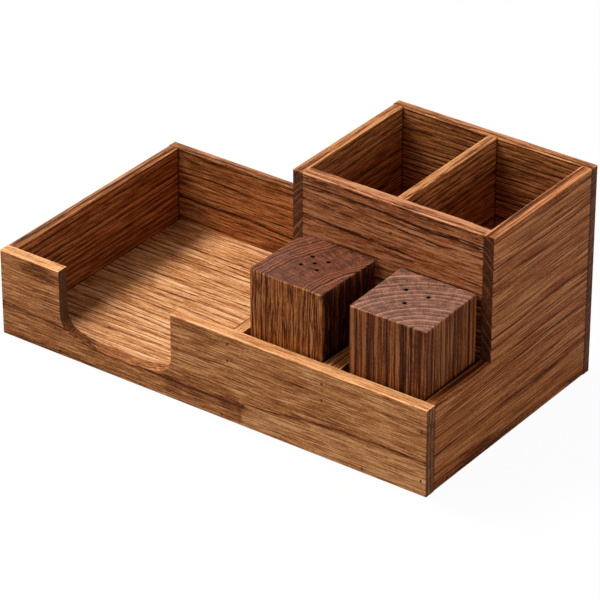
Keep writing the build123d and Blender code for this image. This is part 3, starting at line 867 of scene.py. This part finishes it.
# ------------------------------------------------------------------ stage
def pale_floor(colour):
    """Matt floor that the camera sees nearly white, with the object's shadow on it."""
    material, g = new_material("pale_floor")
    path = g.node("ShaderNodeLightPath")
    seen = g.larger(path.outputs["Is Camera Ray"], path.outputs["Is Transmission Ray"])
    matt = g.node("ShaderNodeBsdfDiffuse")
    g.put(g.ramp(seen, [(0.0, (FLOOR_BOUNCE,) * 3), (1.0, colour)]), matt.inputs["Color"])
    glow = g.node("ShaderNodeEmission")
    g.put(WHITE, glow.inputs["Color"])
    mix = g.node("ShaderNodeMixShader")
    share = g.times_plus(path.outputs["Is Glossy Ray"], FLOOR_GLOSS, g.times(seen, FLOOR_GLOW))
    g.put(share, mix.inputs[0])
    g.put(matt.outputs[0], mix.inputs[1])
    g.put(glow.outputs[0], mix.inputs[2])
    g.surface(mix.outputs[0])
    return material


def lay_floor(colour):
    bpy.ops.mesh.primitive_grid_add(
        x_subdivisions=FLOOR_CELLS, y_subdivisions=FLOOR_CELLS, size=FLOOR_SIZE,
        location=(0, 0, -FLOOR_DROP))
    floor = bpy.context.active_object
    floor.name = "floor"
    floor.data.materials.append(pale_floor(colour))


def aimed(made, place, towards):
    """Links the object, at its place and looking that way."""
    made.location = place
    made.rotation_mode = "QUATERNION"
    made.rotation_quaternion = towards.to_track_quat("-Z", "Y")
    bpy.context.scene.collection.objects.link(made)


def softbox(name, place, size, power, colour):
    lamp = bpy.data.lights.new(name, "AREA")
    lamp.shape = "DISK"
    lamp.size = size
    lamp.energy = power
    lamp.color = colour
    aimed(bpy.data.objects.new(name, lamp), place, Vector(LAMP_TARGET) - Vector(place))


def photo_camera():
    data = bpy.data.cameras.new("photo_camera")
    data.sensor_width = CAMERA_SENSOR
    data.lens = CAMERA_LENS
    data.clip_start, data.clip_end = CAMERA_CLIP
    camera = bpy.data.objects.new("photo_camera", data)
    aimed(camera, CAMERA_AT, -Vector(CAMERA_BACK))
    bpy.context.scene.camera = camera


def white_world(strength):
    """White to the camera and in gloss, and an even light of that strength for the rest."""
    world = bpy.data.worlds.new("pale_room")
    bpy.context.scene.world = world
    world.use_nodes = True
    g = Graph(world.node_tree)
    path = g.node("ShaderNodeLightPath")
    seen = g.larger(path.outputs["Is Camera Ray"], path.outputs["Is Glossy Ray"])
    back = g.node("ShaderNodeBackground")
    g.put(WHITE, back.inputs["Color"])
    g.put(g.times_plus(seen, 1.0 - strength, strength), back.inputs["Strength"])
    g.put(back.outputs[0], g.node("ShaderNodeOutputWorld").inputs["Surface"])


# ------------------------------------------------------------------ operators
class CaddyOperator:
    """What the operators share."""
    bl_options = {"REGISTER", "UNDO"}


class CADDY_OT_stage(CaddyOperator, bpy.types.Operator):
    """Sets the camera, the lamps, the pale room and the floor"""
    bl_idname = "caddy.stage"
    bl_label = "Set the Stage"

    def execute(self, context):
        stage = context.scene.caddy_stage
        photo_camera()
        context.scene.view_settings.view_transform = "Standard"
        white_world(stage.world_strength)
        for name, (place, size, colour) in LAMPS.items():
            softbox(f"{name}_softbox", place, size, getattr(stage, f"{name}_power"), colour)
        lay_floor(stage.floor_colour)
        return {"FINISHED"}


class CADDY_OT_front_panel(CaddyOperator, bpy.types.Operator):
    """Finishes the notched front panel with its long growth lines"""
    bl_idname = "caddy.front_panel"
    bl_label = "Finish the Front Panel"

    def execute(self, context):
        finish_boards(["front_panel"], context)
        return {"FINISHED"}


class CADDY_OT_tray_boards(CaddyOperator, bpy.types.Operator):
    """Finishes the floor, the left side, the back and the partitions"""
    bl_idname = "caddy.tray_boards"
    bl_label = "Finish the Tray"

    def execute(self, context):
        finish_boards(TRAY_BOARDS, context)
        return {"FINISHED"}


class CADDY_OT_box_boards(CaddyOperator, bpy.types.Operator):
    """Finishes the right side and the other boards of the two-cell box"""
    bl_idname = "caddy.box_boards"
    bl_label = "Finish the Box"

    def execute(self, context):
        finish_boards(BOX_BOARDS, context)
        return {"FINISHED"}


class CADDY_OT_shaker_blocks(CaddyOperator, bpy.types.Operator):
    """Finishes the two shaker blocks, whose tops show end grain"""
    bl_idname = "caddy.shaker_blocks"
    bl_label = "Finish the Shaker Blocks"

    def execute(self, context):
        finish_boards(SHAKER_BLOCKS, context)
        return {"FINISHED"}


class CADDY_OT_stoppers(CaddyOperator, bpy.types.Operator):
    """Finishes the rubber stoppers under the shaker blocks"""
    bl_idname = "caddy.stoppers"
    bl_label = "Finish the Stoppers"

    def execute(self, context):
        rubber = soft_rubber(context.scene.caddy_fittings.rubber)
        for name in STOPPER_NODES:
            dress(name, rubber)
        return {"FINISHED"}


class CADDY_OT_brads(CaddyOperator, bpy.types.Operator):
    """Finishes the punched brads"""
    bl_idname = "caddy.brads"
    bl_label = "Finish the Brads"

    def execute(self, context):
        steel = dull_steel(context.scene.caddy_fittings.brad)
        for name in BRAD_NODES:
            dress(name, steel)
        return {"FINISHED"}


STEPS = (
    CADDY_OT_stage,
    CADDY_OT_front_panel,
    CADDY_OT_tray_boards,
    CADDY_OT_box_boards,
    CADDY_OT_shaker_blocks,
    CADDY_OT_stoppers,
    CADDY_OT_brads,
)


class CADDY_PT_panel(bpy.types.Panel):
    """The steps, in order, with their settings"""
    bl_idname = "CADDY_PT_panel"
    bl_label = "Table Caddy"
    bl_space_type = "VIEW_3D"
    bl_region_type = "UI"
    bl_category = "Caddy"

    def draw(self, context):
        layout = self.layout
        for step in STEPS:
            layout.operator(step.bl_idname)
        scene = context.scene
        for settings in (scene.caddy_wood, scene.caddy_fittings, scene.caddy_stage):
            column = layout.column(align=True)
            for name in settings.__annotations__:
                column.prop(settings, name)


CLASSES = (CaddyWoodSettings, CaddyFittingSettings, CaddyStageSettings, *STEPS, CADDY_PT_panel)


def register():
    for cls in CLASSES:
        bpy.utils.register_class(cls)
    bpy.types.Scene.caddy_wood = PointerProperty(type=CaddyWoodSettings)
    bpy.types.Scene.caddy_fittings = PointerProperty(type=CaddyFittingSettings)
    bpy.types.Scene.caddy_stage = PointerProperty(type=CaddyStageSettings)


def unregister():
    del bpy.types.Scene.caddy_stage
    del bpy.types.Scene.caddy_fittings
    del bpy.types.Scene.caddy_wood
    for cls in reversed(CLASSES):
        bpy.utils.unregister_class(cls)


def main():
    register()
    bpy.ops.caddy.stage()
    bpy.ops.caddy.front_panel()
    bpy.ops.caddy.tray_boards()
    bpy.ops.caddy.box_boards()
    bpy.ops.caddy.shaker_blocks()
    bpy.ops.caddy.stoppers()
    bpy.ops.caddy.brads()


if __name__ == "__main__":
    main()
